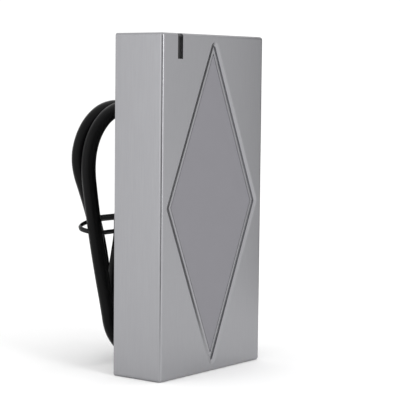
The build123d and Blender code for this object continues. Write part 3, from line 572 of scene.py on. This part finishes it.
def smoked_light_pipe():
    """Smoked acrylic, polished: nearly black, with a clear hard gloss and faint moulding flow."""
    material, tree = start_material("smoked_acrylic")
    flow = grain(tree, 2.5, stretch=(1, 1, 6), detail=1.0)
    finish_material(tree, {
        "Base Color": blend_colours(tree, spread(tree, flow, 0, 1), "#060607", "#0c0c0d"),
        "Roughness": spread(tree, flow, 0.10, 0.18),
        "IOR": 1.49,
        "Coat Weight": 0.15,
        "Coat Roughness": 0.05,
        "Specular IOR Level": 0.3,
        "Normal": bump(tree, flow, 0.004),
    })
    return material


LEAD_COLOURS = {
    "red": ("#b3201c", "#a11b18"),
    "black": ("#1b1b1c", "#151516"),
    "green": ("#1f7a3a", "#1b6b33"),
    "white": ("#e6e5e0", "#dcdbd5"),
    "blue": ("#1f4a9c", "#1b4290"),
    "brown": ("#5a3420", "#4f2d1b"),
    "yellow": ("#e2b81e", "#d4ab18"),
    "grey": ("#8b8d8f", "#7f8183"),
}

ALONG_X = (60, 1, 1)
ROUND = (1, 1, 1)
MATERIALS = {
    "satin_zinc": satin_chromed_zinc(),
    "window_plastic": moulded("satin_abs_window", "#727176", "#706f74", 0.50, 0.3, 0.004),
    "black_rubber": moulded("nitrile_rubber", "#1d1d1d", "#171717", 0.78, 0.12, 0.012),
    "smoked_plastic": smoked_light_pipe(),
    "led_red_lens": clear_tinted("red_chip_resin", "#c81d14"),
    "led_green_lens": clear_tinted("green_chip_resin", "#1fb54a"),
    "board_green": solder_masked_board(),
    "natural_nylon": moulded("natural_nylon", "#ddd6c3", "#d3cbb6", 0.5, 0.25, 0.006, ior=1.53),
    "enamelled_copper": wound_copper(),
    "chip_black": moulded("chip_epoxy", "#222223", "#1a1a1b", 0.6, 0.08, 0.006),
    "plated_can": brushed_sheet("drawn_plated_can", "#d2d2d0", "#bcbcba", 0.28, ROUND),
    "black_pvc": moulded("black_cable_pvc", "#0a0a0b", "#080809", 0.36, 0.5, 0.01, 0.09),
    "zinc_plated_steel": brushed_sheet("zinc_plated_steel", "#c4c6c4", "#a9aba8", 0.36, ROUND),
    "cover_plastic": moulded("black_abs_cover", "#242425", "#1e1e1f", 0.62, 0.35, 0.02),
    "bracket_steel": brushed_sheet("brushed_stainless_bracket", "#c2c2c1", "#a3a3a2", 0.34, ALONG_X),
    "stainless_screw": brushed_sheet("turned_stainless_screw", "#c9c9c8", "#acacab", 0.27, ROUND),
    "spring_steel": brushed_sheet("drawn_spring_wire", "#b5b5b4", "#8e8e8d", 0.3, ROUND),
    "tie_plastic": moulded("black_tie_plastic", "#101011", "#0c0c0d", 0.42, 0.4, 0.006, 0.25),
    "shrink_sleeve": moulded("heat_shrink_sleeve", "#202021", "#19191a", 0.56, 0.6, 0.02),
    "tinned_copper": brushed_sheet("solder_tinned_strands", "#cfcfca", "#9b9b96", 0.3, ALONG_X),
}
for colour, (light, dark) in LEAD_COLOURS.items():
    MATERIALS[f"lead_{colour}_pvc"] = moulded(f"{colour}_lead_pvc", light, dark, 0.38, 0.3, 0.004)

for node, piece in frame["nodes"].items():
    piece.data.materials.clear()
    piece.data.materials.append(MATERIALS[RECORD_SLOTS[node]])
for piece in [cable, twist_tie, tamper_coil, *leads.values()]:
    piece.data.materials.clear()
    piece.data.materials.append(MATERIALS[piece["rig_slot"]])


# ---------------------------------------------------------------- studio
FLOOR_SIZE = 30.0
WORLD_STRENGTH = 1.08
CARD_GREY = "#060606"
AIM_HEIGHT = 0.06
# Each card: name, place, width and height, and the point that it faces.
CARDS = [
    ("dark_card_right", (0.16, 0.005, 0.08), (0.19, 0.24), (0, 0.005, 0.08)),
    ("dark_card_corner", (-0.115, -0.085, 0.09), (0.06, 0.20), (0, 0, 0.09)),
]
# Each softbox: name, place, width and height, and power in watts.
SOFTBOXES = [
    ("softbox_left", (-0.75, 0.30, 0.30), (0.35, 0.9), 1.1),
    ("softbox_front", (-0.25, -1.2, 0.5), (0.35, 0.8), 6),
]


def make_floor():
    shape = bmesh.new()
    bmesh.ops.create_grid(shape, x_segments=1, y_segments=1, size=FLOOR_SIZE / 2)
    mesh = bpy.data.meshes.new("floor")
    shape.to_mesh(mesh)
    shape.free()
    material, tree = start_material("pale_floor")
    finish_material(tree, {"Base Color": linear("#fafafa"), "Roughness": 0.9})
    mesh.materials.append(material)
    floor = link_piece("floor", mesh)


def make_softbox(name, place, size, power):
    light = bpy.data.lights.new(name, "AREA")
    light.shape = "RECTANGLE"
    light.size, light.size_y = size
    light.energy = power
    lamp = link_piece(name, light)
    lamp.location = place
    facing = Vector((0, 0, AIM_HEIGHT)) - Vector(place)
    lamp.rotation_euler = facing.to_track_quat("-Z", "Y").to_euler()


def make_world():
    world = bpy.data.worlds.new("studio")
    world.use_nodes = True
    background = world.node_tree.nodes["Background"]
    background.inputs["Color"].default_value = linear("#ffffff")
    background.inputs["Strength"].default_value = WORLD_STRENGTH
    bpy.context.scene.world = world


def make_dark_card(name, place, size, target):
    """A black card that only the polished surfaces see, to draw a dark line along an edge."""
    shape = bmesh.new()
    bmesh.ops.create_grid(shape, x_segments=1, y_segments=1, size=0.5)
    bmesh.ops.scale(shape, vec=(*size, 1), verts=shape.verts)
    facing = (Vector(target) - Vector(place)).to_track_quat("-Z", "Y").to_matrix().to_4x4()
    bmesh.ops.transform(shape, matrix=Matrix.Translation(place) @ facing, verts=shape.verts)
    mesh = bpy.data.meshes.new(name)
    shape.to_mesh(mesh)
    shape.free()
    material, tree = start_material(name + "_cloth")
    finish_material(tree, {"Base Color": linear(CARD_GREY), "Roughness": 1.0})
    mesh.materials.append(material)
    card = link_piece(name, mesh)
    card.visible_camera = False
    card.visible_diffuse = False
    card.visible_shadow = False


make_floor()
make_world()
for card in CARDS:
    make_dark_card(*card)
for softbox in SOFTBOXES:
    make_softbox(*softbox)
bpy.context.scene.view_settings.view_transform = "Standard"
